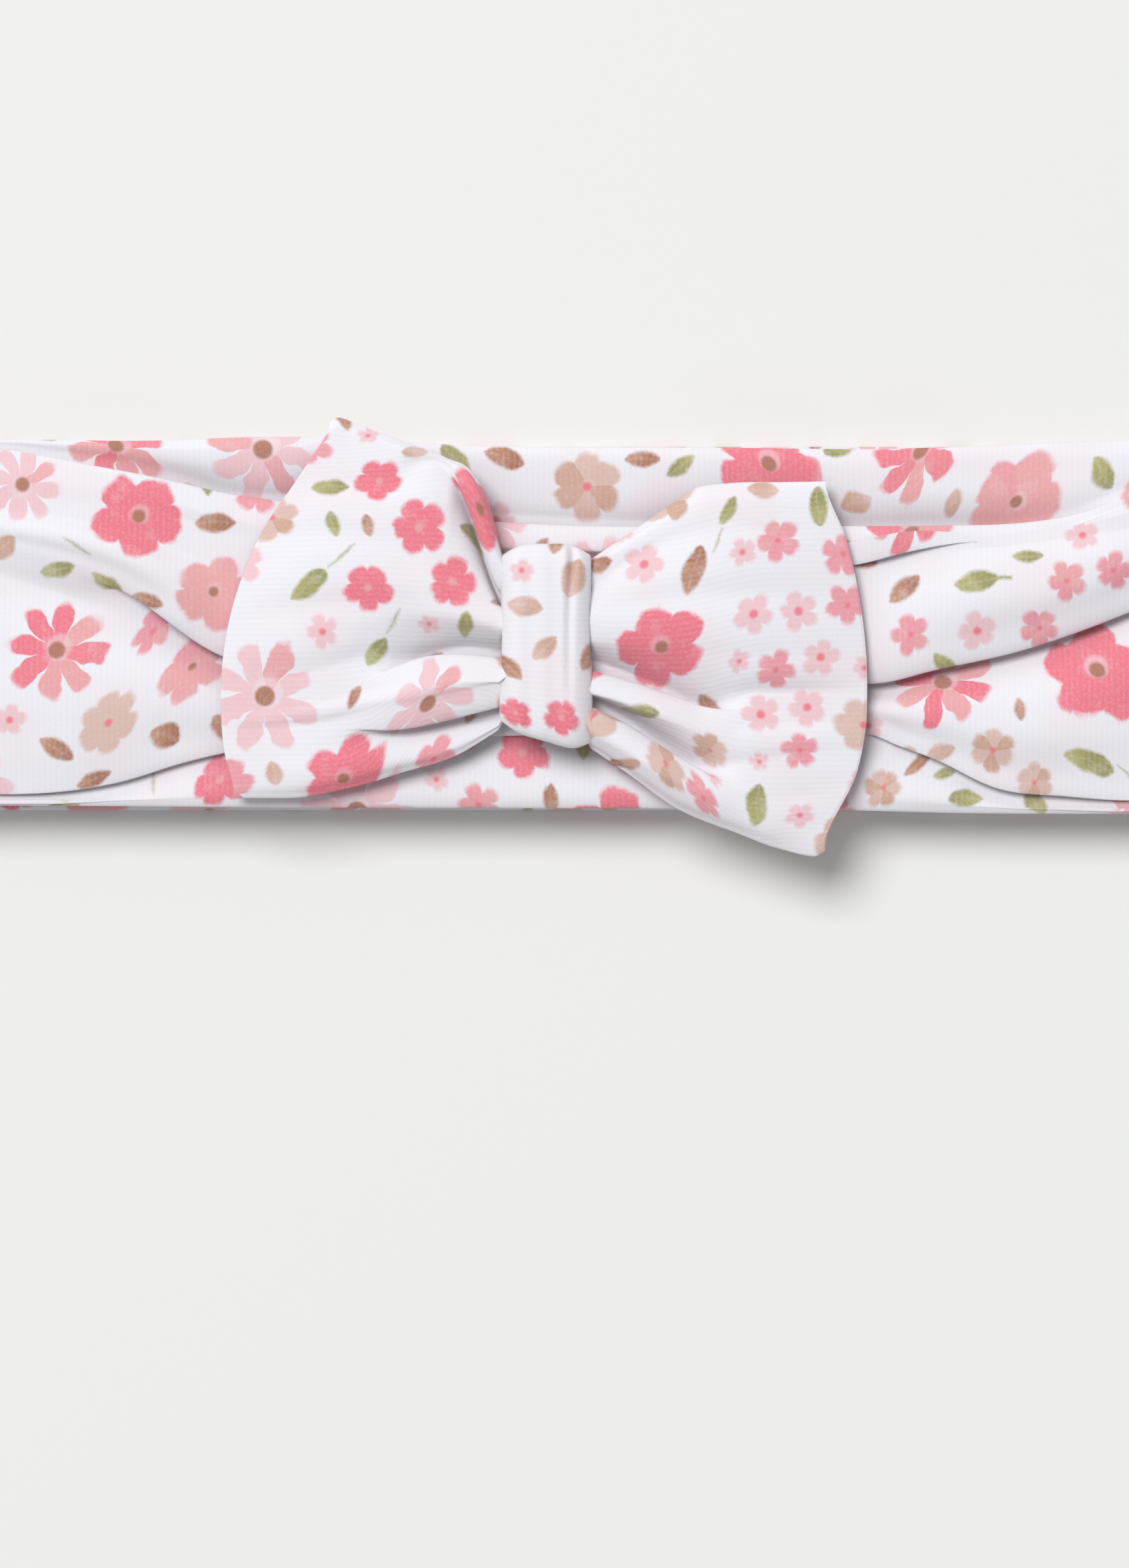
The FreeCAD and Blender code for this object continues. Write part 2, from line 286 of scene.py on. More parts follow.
def along_section(points, reference):
    """Arc length across each section, level with y on the reference column of points.

    Where a fold opens out, the length it took is shared over the sections nearby.
    """
    steps = np.linalg.norm(np.diff(points, axis=1), axis=2)
    length = np.concatenate([np.zeros((len(points), 1)), np.cumsum(steps, 1)], 1)
    across = points[:, reference : reference + 1, 1] - (length - length[:, reference : reference + 1])
    weights = np.hanning(2 * SPREAD + 3)[1:-1]
    padded = np.pad(across, ((SPREAD, SPREAD), (0, 0)), mode="edge")
    return sum(w * padded[k : k + len(across)] for k, w in enumerate(weights)) / weights.sum()


# --- The print ------------------------------------------------------------------------------------
# A motif is (u, v, kind, radius, turn): fabric coordinates and radius in millimetres, turn in degrees.


def ink(code):
    """Linear colour of a printed ink, from its usual six-digit code."""
    shares = [int(code[k : k + 2], 16) / 255 for k in (0, 2, 4)]
    return [x / 12.92 if x <= 0.04045 else ((x + 0.055) / 1.055) ** 2.4 for x in shares]


PINK, CORAL, BLUSH, ROSE = ink("F17F8F"), ink("EFA0AB"), ink("F1CAD0"), ink("EDABAD")
BROWN, UMBER, SAND, TAN = ink("C99B82"), ink("AE785F"), ink("E0C1B7"), ink("D3AB97")
OLIVE, MOSS = ink("BAB87C"), ink("9E9C64")
KINDS = {
    # petals, depth of the gaps between them, ink, deeper ink and its share, eye and its share
    "blossom": (5, 0.33, PINK, PINK, 0.0, UMBER, 0.14),
    "daisy": (8, 0.68, BLUSH, ROSE, 0.2, UMBER, 0.17),
    "bright daisy": (8, 0.66, ROSE, PINK, 0.45, UMBER, 0.16),
    "rose": (5, 0.3, ROSE, CORAL, 0.2, UMBER, 0.12),
    "small": (5, 0.32, PINK, PINK, 0.0, ROSE, 0.14),
    "coral": (5, 0.42, CORAL, ROSE, 0.4, PINK, 0.12),
    "dotted": (5, 0.42, BLUSH, BLUSH, 0.0, PINK, 0.2),
    "sand": (6, 0.28, SAND, TAN, 0.4, PINK, 0.12),
    # no petals, width for its length, ink, the tip's ink, two values for flowers only, length of its stalk
    "brown leaf": (0, 0.48, BROWN, UMBER, 0.5, UMBER, 0.0),
    "sand leaf": (0, 0.60, SAND, TAN, 0.5, TAN, 0.0),
    "olive leaf": (0, 0.46, OLIVE, MOSS, 0.5, MOSS, 0.0),
    "stalked leaf": (0, 0.46, OLIVE, MOSS, 0.6, MOSS, 1.0),
    "stem": (0, 0.075, OLIVE, MOSS, 0.5, MOSS, 0.0),
}
SCATTER = [
    # kind, radius, tries per square centimetre
    ("daisy", 8.0, 0.16), ("rose", 7.2, 0.16), ("blossom", 7.2, 0.08), ("bright daisy", 7.6, 0.1),
    ("daisy", 6.2, 0.3), ("sand", 4.8, 0.35), ("rose", 5.2, 0.3), ("stalked leaf", 3.2, 0.6),
    ("small", 4.0, 0.2), ("coral", 3.6, 0.5), ("olive leaf", 3.1, 0.8), ("brown leaf", 3.1, 0.8),
    ("dotted", 3.2, 1.6), ("olive leaf", 2.6, 1.4), ("brown leaf", 2.5, 1.4), ("sand leaf", 2.7, 0.8),
    ("dotted", 2.5, 2.6), ("brown leaf", 2.0, 1.8), ("sand leaf", 2.0, 1.6), ("olive leaf", 1.9, 1.6),
    ("dotted", 1.8, 3.0),
]
MARGIN = 0.3  # millimetres of plain ground kept round a motif
SEED_STEP = 0.37  # between the seeds of two motifs, which their petals' random lengths grow from
BATCH = 4000  # faces that look for their nearest motif at a time


def room(kind, radius):
    """The radius of the ground that a motif needs, its stalk and a narrow margin included."""
    petals, stalk = KINDS[kind][0], KINDS[kind][6]
    return radius * (1 if petals else 1 + stalk) + MARGIN


def scatter(placed, low, high, seed, largest):
    """Fills the free ground between two corners of the fabric with motifs up to a radius."""
    rng = np.random.default_rng(seed)
    motifs = list(placed)
    area = (high[0] - low[0]) * (high[1] - low[1]) / 100
    for kind, size, tries in SCATTER:
        for _ in range(int(tries * area) if size <= largest else 0):
            u, v = rng.uniform(low, high)
            radius = size * rng.uniform(0.88, 1.1)
            turn = rng.uniform(0, 360)
            taken = room(kind, radius)
            apart = [math.hypot(u - m[0], v - m[1]) - taken - room(m[2], m[3]) for m in motifs]
            if not apart or min(apart) > 0:
                motifs.append((u, v, kind, radius, turn))
    return motifs


def placed_on(points, fabric, motifs):
    """The motifs, placed over the finished cloth as seen from above, in fabric coordinates."""
    flat, cloth = points.reshape(-1, 3), fabric.reshape(-1, 2)
    found = []
    for x, y, kind, radius, turn in motifs:
        near = np.hypot(flat[:, 0] - x, flat[:, 1] - y)
        reach = max(0.8, near.min() * 1.2)
        top = np.where(near < reach, flat[:, 2], -1e9).argmax()
        u, v = cloth[top] + (np.array([x, y]) - flat[top, :2])
        found.append((u, v, kind, radius, turn))
    return found


def print_of(points, fabric, placed, seed, largest):
    """All motifs of a piece: those listed for it and placed over it, and those scattered between them."""
    motifs = placed_on(points, fabric, placed)
    return scatter(motifs, fabric.min((0, 1)), fabric.max((0, 1)), seed, largest)


def print_motifs(mesh, flat, quads, motifs):
    """Gives each face the motif that lies nearest to it, as attributes that the print is drawn from."""
    table = np.array([(u, v, radius, math.radians(turn)) for u, v, kind, radius, turn in motifs])
    kinds = [KINDS[m[2]] for m in motifs]
    centre = flat[quads].mean(1)
    owners = []
    for part in np.array_split(centre, 1 + len(centre) // BATCH):
        away = np.hypot(part[:, None, 0] - table[None, :, 0], part[:, None, 1] - table[None, :, 1])
        owners.append((away - table[None, :, 2]).argmin(1))
    owner = np.concatenate(owners)
    at, motif = flat[quads.ravel()], table[owner.repeat(4)]
    du, dv = at[:, 0] - motif[:, 0], at[:, 1] - motif[:, 1]
    cos, sin = np.cos(motif[:, 3]), np.sin(motif[:, 3])
    place = np.stack([du * cos + dv * sin, dv * cos - du * sin, motif[:, 2]], 1)
    seeds = SEED_STEP * np.arange(len(kinds))
    form = np.array([(k[0], k[1], seed) for k, seed in zip(kinds, seeds)])[owner].repeat(4, 0)
    colours = {
        "ink": np.array([[*k[2], 1] for k in kinds]),
        "deep": np.array([[*k[3], k[4]] for k in kinds]),
        "eye": np.array([[*k[5], k[6]] for k in kinds]),
    }
    set_attribute(mesh, "place", "FLOAT_VECTOR", place)
    set_attribute(mesh, "form", "FLOAT_VECTOR", form)
    for name, values in colours.items():
        set_attribute(mesh, name, "FLOAT_COLOR", values[owner].repeat(4, 0))


class Wire:
    """A node socket that takes part in arithmetic, so that a material's formula reads as one."""

    def __init__(self, tree, socket):
        self.tree, self.socket = tree, socket

    def math(self, operation, *others):
        """One of Blender's math operations on this value and the others."""
        node = self.tree.nodes.new("ShaderNodeMath")
        node.operation = operation
        for slot, value in zip(node.inputs, (self, *others)):
            plug(self.tree, slot, value)
        return Wire(self.tree, node.outputs[0])

    __add__ = partialmethod(math, "ADD")
    __sub__ = partialmethod(math, "SUBTRACT")
    __mul__ = partialmethod(math, "MULTIPLY")
    __truediv__ = partialmethod(math, "DIVIDE")
    __pow__ = partialmethod(math, "POWER")
    __abs__ = partialmethod(math, "ABSOLUTE")
    at_least = partialmethod(math, "MAXIMUM")
    at_most = partialmethod(math, "MINIMUM")

    def parts(self, letters):
        """A vector's components, named by their letters."""
        return wires(self.tree, "ShaderNodeSeparateXYZ", letters, vector=self)

    def wave(self, pitch):
        """A wave from -1 to 1 that crests at 0 and at every whole pitch."""
        return (self * (2 * math.pi / pitch)).math("COSINE")

    def flipped(self):
        """One minus the value."""
        return self * -1 + 1

    def ramp(self, low, high):
        """A smooth step from 0 at low to 1 at high."""
        node = self.tree.nodes.new("ShaderNodeMapRange")
        node.interpolation_type = "SMOOTHSTEP"
        for slot, value in (("Value", self), ("From Min", low), ("From Max", high)):
            plug(self.tree, node.inputs[slot], value)
        return Wire(self.tree, node.outputs[0])


def plug(tree, slot, value):
    """Links a wire to a socket, or sets the socket to a plain value."""
    if isinstance(value, Wire):
        tree.links.new(value.socket, slot)
    else:
        slot.default_value = value


def wires(tree, kind, outputs, **settings):
    """A new node's outputs. Settings named as its inputs are plugged in; the others are its properties."""
    node = tree.nodes.new(kind)
    for name, value in settings.items():
        slot = node.inputs.get(name.replace("_", " ").title())
        if slot is None:
            setattr(node, name, value)
        else:
            plug(tree, slot, value)
    found = [Wire(tree, node.outputs[name]) for name in outputs]
    return found if len(found) > 1 else found[0]


def attribute(tree, name, output="Vector"):
    return wires(tree, "ShaderNodeAttribute", [output], attribute_name=name)


def blended(tree, share, a, b):
    """Colour a turning into colour b as share goes from 0 to 1."""
    node = tree.nodes.new("ShaderNodeMix")
    node.data_type = "RGBA"
    for slot, value in zip((node.inputs[0], node.inputs[6], node.inputs[7]), (share, a, b)):
        plug(tree, slot, value)
    return Wire(tree, node.outputs[2])


def new_material(name):
    """A material, its node tree and its surface shader."""
    material = bpy.data.materials.new(name)
    material.use_nodes = True
    return material, material.node_tree, material.node_tree.nodes["Principled BSDF"]


def relief(tree, surface, height, depth):
    """Fine relief of a surface: its height, and how many millimetres a height of 1 stands for."""
    bump = wires(tree, "ShaderNodeBump", ["Normal"], height=height, distance=depth * MM, strength=1.0)
    plug(tree, surface.inputs["Normal"], bump)


WALE, COURSE = 0.83, 0.62  # millimetres between ribs of the knit, and between stitches along a rib
# The unprinted cloth; its darker tone, which comes in at random with the fibres and as painted shade in the
# grooves between ribs; and the faint tint it takes on in patches.
GROUND, GROUND_TONE_AND_SHADE, FLUSH = (0.90, 0.908, 0.96, 1), (0.845, 0.83, 0.885, 1), (0.91, 0.80, 0.85, 1)
PAINTED_CREASE_SHADE, PAINTED_SHADE_SHARE = (0.40, 0.30, 0.33, 1), 0.42  # painted shade: the colour that creases darken towards, and how far
PAINTED_SHADE_REACH = 7 * MM  # how near another surface has to be for the painted shade to darken a point


def knit(fabric, ribs):
    """How near a point lies to the crown of a rib, and to the crown of a stitch along it."""
    u, v = fabric.parts("XY")
    across, along = (u, v) if ribs == 0 else (v, u)
    rib = across / WALE
    slant = abs(rib.math("FRACT") - 0.5)
    stitch = along / COURSE + slant
    return [turn.wave(1) * 0.5 + 0.5 for turn in (rib, stitch)]


def flower(tree, x, y, radius, petals, gap, seed, fuzz, from_eye):
    """A round flower's cover, its eye's, the pale ring round that, and a random number for each petal."""
    reach = (x * x + y * y).math("SQRT")
    turn = y.math("ARCTAN2", x) / (2 * math.pi) * petals + petals
    number = wires(tree, "ShaderNodeCombineXYZ", ["Vector"], x=turn.math("FLOOR"), y=seed)
    noise = wires(tree, "ShaderNodeTexWhiteNoise", ["Color"], noise_dimensions="2D", vector=number)
    length, chance = noise.parts("XY")
    lobe = abs(turn.math("FRACT") * 2 - 1) ** 3.0
    outline = (lobe * gap + lobe.flipped() * length * 0.14).flipped()
    petal_cover = (outline * radius - reach + (fuzz - 0.5) * 0.4).ramp(-0.4, 0.55)
    eye_reach = attribute(tree, "eye", "Alpha") * radius
    eye_cover = (eye_reach - from_eye).ramp(-0.3, 0.3)
    near_eye = (eye_reach * 1.45 - (from_eye - (y + x) * 0.2)).ramp(-0.3, 0.4)
    return petal_cover, eye_cover, near_eye, chance


def leaf(tree, x, y, radius, width, fuzz):
    """A pointed leaf's cover, with the curved stalk that some have."""
    share = x / radius
    within = (share * share).flipped()
    blade = (within.at_least(0.0) ** 0.75 * width + within.at_most(0.0)) * radius
    stalk_end = radius * 1.5 * attribute(tree, "eye", "Alpha")
    beside_stalk = abs(y + x * x * 0.012) * -1 + 0.3
    stalk = beside_stalk.at_most((x * -1 + stalk_end).at_most(x))
    return ((blade - abs(y)).at_least(stalk) + (fuzz - 0.5) * 0.35).ramp(-0.35, 0.45)


def jersey(name, ribs):
    """Printed cotton jersey. ribs is the fabric coordinate that runs across the ribs, 0 or 1."""
    material, tree, surface = new_material(name)
    fabric = attribute(tree, "fabric")
    noise = "ShaderNodeTexNoise"
    bleed = wires(tree, noise, ["Color"], vector=fabric, scale=0.34, detail=1.5, roughness=0.4)
    wash = wires(tree, noise, ["Fac"], vector=fabric, scale=0.3, detail=3.0)
    patches = wires(tree, noise, ["Fac"], vector=fabric, scale=0.075, detail=1.0)
    fuzz = wires(tree, noise, ["Fac"], vector=fabric, scale=2.2, detail=3.0, roughness=0.7)
    crown, stitch = knit(fabric, ribs)

    # Where the point lies in its motif, in millimetres, once the ink has bled a little into the cloth.
    x, y, radius = attribute(tree, "place").parts("XYZ")
    petals, gap, seed = attribute(tree, "form").parts("XYZ")
    from_eye = (x * x + y * y).math("SQRT")
    bleed_x, bleed_y = bleed.parts("XY")
    uneven = radius * 0.22 + 0.4
    x, y = x + (bleed_x - 0.5) * uneven, y + (bleed_y - 0.5) * uneven

    # How much of each ink covers the ground there.
    is_flower = petals.math("GREATER_THAN", 0.5)
    is_leaf = is_flower.flipped()
    in_flower, in_eye, near_eye, chance = flower(tree, x, y, radius, petals, gap, seed, fuzz, from_eye)
    in_leaf = leaf(tree, x, y, radius, gap, fuzz)
    vein = (abs(y) * -1 + 0.35).ramp(0.0, 0.3) * wash
    flower_deep = chance.math("LESS_THAN", attribute(tree, "deep", "Alpha"))
    leaf_deep = (x / radius * 0.6 + wash * 1.6 - 0.5).ramp(-0.4, 0.8)
    deep = flower_deep * is_flower + leaf_deep * is_leaf
    inked = blended(tree, deep, attribute(tree, "ink", "Color"), attribute(tree, "deep", "Color"))
    strength = (wash * 0.9 + 0.58).at_most(1.0) * (crown * 0.08 + 0.92) * (fuzz * 0.7 + 0.66)
    cover = (in_flower * is_flower + in_leaf * is_leaf * (vein * -0.2 + 1)) * strength

    # From the ground up: the cloth, its pink patches, the motif, the flower's eye, and the shade painted
    # into the creases.
    # Painted shade darkens the ground in the grooves between ribs, and the fibres' random mottle uses the
    # same darker tone.
    ground = blended(tree, fuzz * 0.9 + crown.flipped() * 0.2, GROUND, GROUND_TONE_AND_SHADE)
    ground = blended(tree, patches.ramp(0.42, 0.68) * 0.5, ground, FLUSH)
    colour = blended(tree, cover.at_most(1.0), ground, inked)
    halo = near_eye * is_flower * (radius * 0.08 - 0.3).at_least(0.0)
    colour = blended(tree, halo, colour, ground)
    eye_ink = in_eye * is_flower * (fuzz * 0.5 + 0.65).at_most(1.0)
    colour = blended(tree, eye_ink, colour, attribute(tree, "eye", "Color"))
    # Painted shade: where other cloth lies near, as in creases and under the bow, the colour darkens on top
    # of the real shadows.
    open_sky = wires(tree, "ShaderNodeAmbientOcclusion", ["AO"], samples=6, distance=PAINTED_SHADE_REACH)
    colour = blended(tree, open_sky.flipped() * PAINTED_SHADE_SHARE, colour, PAINTED_CREASE_SHADE)
    plug(tree, surface.inputs["Base Color"], colour)

    # Ribs, stitches and fibres in relief.
    relief(tree, surface, crown * (stitch * 0.35 + 0.65) * 0.5 + fuzz, 0.03)
    plug(tree, surface.inputs["Roughness"], crown.flipped() * 0.06 + 0.86)
    surface.inputs["Sheen Weight"].default_value = 0.18
    surface.inputs["Sheen Roughness"].default_value = 0.5
    surface.inputs["Specular IOR Level"].default_value = 0.25
    return material


# --- The loop -------------------------------------------------------------------------------------

# The band's paths are (x, y), and all its tables go by x. Heights are over the loop's flat front.
BAND_RAILS = [
    {  # upper edge
        "path": [(-95, 27.9), (-79, 28.5), (-60, 28.3), (-39, 28.9), (-9, 27.6), (26, 27.3), (46, 27.1),
                 (61, 27.5), (84, 28.3), (95, 27.9)],
        "height": [(-95, 0), (-80, 0.2), (60, 0.2), (95, 0)],
        "puff": [(-95, 0), (-80, 0.5), (-50, 0.7), (0, 0.5), (60, 0.7), (84, 0.5), (95, 0)],
    },
    {  # the upper strip, which runs in under the strand below it
        "kind": UNDER, "tuck": 4,
        "path": [(-95, 26.6), (-79, 27.2), (-72, 26.2), (-66, 25.1), (-59, 23.8), (-52, 22.2),
                 (-47, 20.9), (-39, 19.7), (-7, 16.6), (44, 16), (58, 16.1), (66, 16.3), (76, 17.8),
                 (84, 20.5), (95, 22.5)],
        "shut": [(-90, 0), (-80, 0.2), (-68, 0.4), (-54, 0.75), (-46, 1), (62, 1), (68, 0.8),
                 (78, 0.3), (88, 0)],
        "above": [(-95, 0), (-80, 0.2), (-62, -0.3), (-50, -0.8), (48, -0.9), (66, -0.7), (80, 0.2),
                  (95, 0)],
        "below": [(-94, 0), (-80, 0.9), (-62, 2.2), (-50, 2.5), (-44, 2.1), (42, 2.1), (50, 2.4),
                  (66, 2.2), (80, 1.4), (95, 0)],
        "puff": [(-95, 0), (-60, 0.2), (-44, 0), (44, 0), (52, 0.3), (70, 0.2), (95, 0)],
    },
    {  # short pleat to the right of the bow
        "kind": OVER, "tuck": 2,
        "path": [(-95, 21), (-60, 17), (-45, 12), (0, 9), (40, 9.8), (45.3, 10.6), (52, 12.2),
                 (58.6, 13.2), (64, 13.6), (72, 14.5), (95, 18)],
        "shut": [(30, 0), (40, 1), (52, 0.95), (58, 0.5), (64, 0)],
        "above": [(-94, 0), (-80, 1.4), (-62, 2.4), (-48, 1.9), (42, 2), (50, 3), (56, 2.7),
                  (64, 2.4), (84, 2), (95, 0)],
        "below": [(-94, 0), (-80, 1.4), (-62, 2.4), (-48, 1.9), (42, 1.6), (50, 1.2), (56, 1.8),
                  (64, 2.4), (84, 2), (95, 0)],
        "puff": [(-95, 0), (-80, 1), (-60, 1.4), (-44, 0.3), (44, 0.2), (56, 1.4), (80, 1.8),
                 (95, 0)],
    },
    {  # long pleat across the middle
        "kind": OVER, "tuck": 5,
        "path": [(-95, 15), (-79, 11.5), (-62, 6), (-46.5, -2.9), (-7, -3.2), (7, -5), (47, -6.7),
                 (56.5, -4.7), (68.8, -1.9), (80, 1.9), (84.3, 3.6), (95, 7)],
        "soft": [(-95, 5), (-60, 4.4), (-46, 3.4)],
        "shut": [(-70, 0), (-62, 0.2), (-54, 0.75), (-48, 1), (86, 1), (90, 0.5), (95, 0)],
        "above": [(-94, 0), (-80, 2), (-66, 2.8), (-54, 3), (-47, 2), (43, 2), (52, 2.6),
                  (64, 2.8), (84, 2.6), (95, 0)],
        "below": [(-94, 0), (-80, 0.1), (-66, -0.1), (-54, -0.5), (-46, -0.7), (44, -0.6), (60, -0.4),
                  (84, -0.2), (95, 0)],
        "puff": [(-95, 0), (-80, 1.4), (-60, 2.1), (-46, 1.2), (0, 0.5), (44, 1.2), (60, 2.5),
                 (84, 2.2), (95, 0)],
    },
    {  # long pleat along the lower edge
        "kind": OVER, "tuck": 3,
        "path": [(-95, -22), (-79, -22.7), (-62, -21), (-52, -18), (-46.5, -16.7), (-7, -14.5),
                 (7, -14.5), (46, -14.5), (50.7, -16.2), (57, -18.3), (65.7, -22), (75, -23),
                 (84.3, -23.6), (95, -23.4)],
        "shut": [(-92, 0), (-84, 0.7), (-60, 1), (-40, 1), (40, 0.5), (54, 0.55), (64, 0.95),
                 (84, 0.95), (93, 0)],
        "above": [(-95, 0), (-80, 0.6), (-62, 0.9), (-46, 0.8), (0, 0.8), (44, 0.8), (60, 0.9),
                  (84, 0.6), (95, 0)],
        "below": [(-95, 0), (-84, -0.3), (-62, -0.8), (0, -0.4), (44, -0.5), (62, -0.9), (84, -0.5),
                  (95, 0)],
        "puff": [(-95, 0), (-50, 0.5), (0, 0.4), (50, 0.6), (60, 0.5), (95, 0)],
    },
    {  # lower edge
        "path": [(-95, -24.9), (-79, -24.2), (-50, -24.4), (0, -24.6), (40, -24.8), (60, -25.3),
                 (84, -25.4), (95, -24.9)],
        "height": [(-95, 0), (95, 0)],
    },
]
BOW_REACH = 44  # millimetres from the middle that the bow covers
BOW_STEP, FRONT_STEP, BACK_STEP = 1.1, 0.8, 2.5  # millimetres between sections: under it, beside it, behind
BEND_SECTIONS = 14
FACE_UP = 90  # sections, from the middle outward, that the listed motifs can lie on
BAND_CLEAR = 0.4  # millimetres that the front's folds stay off its back layer
BAND_RIPPLE, RIPPLE_ACROSS, RIPPLE_ALONG = 0.16, 13, 60  # height, and lengths across and along


def loop_half(side):
    """Half of the loop: its pleated front from the middle outward, the bend, and its plain back."""
    hidden, open_front = np.arange(0, BOW_REACH, BOW_STEP), np.arange(BOW_REACH, BEND_X, FRONT_STEP)
    front = np.concatenate([hidden, open_front, [BEND_X]])
    arc = np.linspace(0, math.pi * BEND_R, BEND_SECTIONS + 1)[1:]
    back = np.linspace(0, BEND_X, int(BEND_X / BACK_STEP))[1:]
    path = np.concatenate([front, BEND_X + arc, BEND_X + arc[-1] + back])
    stations = side * np.minimum(path, LOOP_HALF)
    rails = [dict(rail, path=[(x, x, y) for x, y in rail["path"]]) for rail in BAND_RAILS]
    section = closed_section(stations, rails, 1, INNER, -INNER)
    y, height = section[..., 1], clear_of_back(section[..., 2], INNER + BAND_CLEAR)
    # Ripples fade towards the bend, on the back layer and under the bow.
    lively = np.clip((LOOP_HALF - 1 - path[:, None]) / 18, 0, 1)
    lively = lively * np.clip((height - INNER) / -INNER, 0, 1)
    lively = lively * np.clip((np.abs(stations[:, None]) - 46) / 8, 0.15, 1)
    ripples = ripple(y / RIPPLE_ACROSS, stations[:, None] / RIPPLE_ALONG, 3)
    height = height + lively * BAND_RIPPLE * ripples
    # The flat section is bent round the end of the loop, and on along its back.
    angle = np.clip((path - BEND_X) / BEND_R, 0, math.pi)[:, None]
    radius = BEND_R + height
    behind = np.maximum(path - BEND_X - arc[-1], 0)[:, None]
    x = side * (np.minimum(path, BEND_X)[:, None] - behind + radius * np.sin(angle))
    z = BEND_R + radius * np.cos(angle)
    points = np.stack([x, y, z], -1)
    flat = np.stack([np.broadcast_to(stations[:, None], y.shape), y, height], -1)
    across = along_section(flat, section.shape[1] // 2)
    along = np.broadcast_to(side * path[:, None], across.shape)
    return points, np.stack([along, across], -1)


def band():
    """Both halves of the loop under one print, which runs on across the middle of the front."""
    left, right = loop_half(-1), loop_half(1)
    faces = [(points[:FACE_UP], fabric[:FACE_UP]) for points, fabric in (left, right)]
    motifs = placed_on(*faces[0], [m for m in BAND_MOTIFS if m[0] < 0])
    motifs += placed_on(*faces[1], [m for m in BAND_MOTIFS if m[0] >= 0])
    motifs = scatter(motifs, left[1].min((0, 1)), right[1].max((0, 1)), seed=21, largest=9)
    return (
        cloth_mesh("band_left_cloth", left[0][::-1], left[1][::-1], motifs),
        cloth_mesh("band_right_cloth", *right, motifs),
    )


BAND_MOTIFS = [
    (-58.8, 17.4, "blossom", 7, 20), (-62.3, 28, "bright daisy", 7.5, 0),
    (-41, 27.2, "daisy", 8.4, 10), (-48, 6.5, "rose", 6, 30), (-70.7, -1.9, "bright daisy", 7.8, 12),
    (-51.2, -4.2, "rose", 5, 0), (-63.2, -12.4, "sand", 4.6, 0), (-47.2, -20.6, "small", 4.2, 0),
    (5.9, 21.8, "sand", 5.6, 0), (32.2, 25.2, "blossom", 8, 40),
    (54.3, 27.2, "bright daisy", 7.8, 10), (68, 19.6, "rose", 7.4, -54),
    (57.4, -6.4, "bright daisy", 8, 5), (79.6, -4.7, "blossom", 8.4, 60),
    (64.5, -16.4, "sand", 3.6, 0), (-70.6, 9.6, "olive leaf", 2.6, 10), (-67.6, 13, "stem", 2.4, -32),
    (-63.4, 7.5, "olive leaf", 2.8, -35), (-57.4, 5.2, "brown leaf", 2.4, -10),
    (-70.8, -16.2, "brown leaf", 2.8, -35), (-55, -14.4, "brown leaf", 3, -50),
    (-47.8, 16.4, "brown leaf", 3, 0), (-65.4, -20.6, "brown leaf", 2.6, 10),
    (-57, -20.5, "stem", 2.4, 95), (-6, 26, "brown leaf", 3.2, -15), (14, 25.8, "brown leaf", 2.6, 0),
    (51.7, 7, "brown leaf", 2.8, 40), (62, 8, "stalked leaf", 3.4, 10),
    (69.4, 11.6, "olive leaf", 2.2, 0), (78.5, -18, "olive leaf", 3.8, -15),
    (84.1, -19.5, "stem", 2.2, -15), (54, -18, "brown leaf", 2.5, 30), (75, 8, "coral", 3, 10),
    (81.7, 9.5, "coral", 3, 40), (62.2, 0.8, "dotted", 3, 0), (71.2, 1.2, "coral", 3.2, 20),
    (52.6, 0.3, "coral", 3.2, 0), (77.4, 14.7, "dotted", 2.6, 0), (70.6, -21, "sand", 3, 0),
    (48.8, -21.8, "sand", 3, 20),
]


# --- The bow --------------------------------------------------------------------------------------

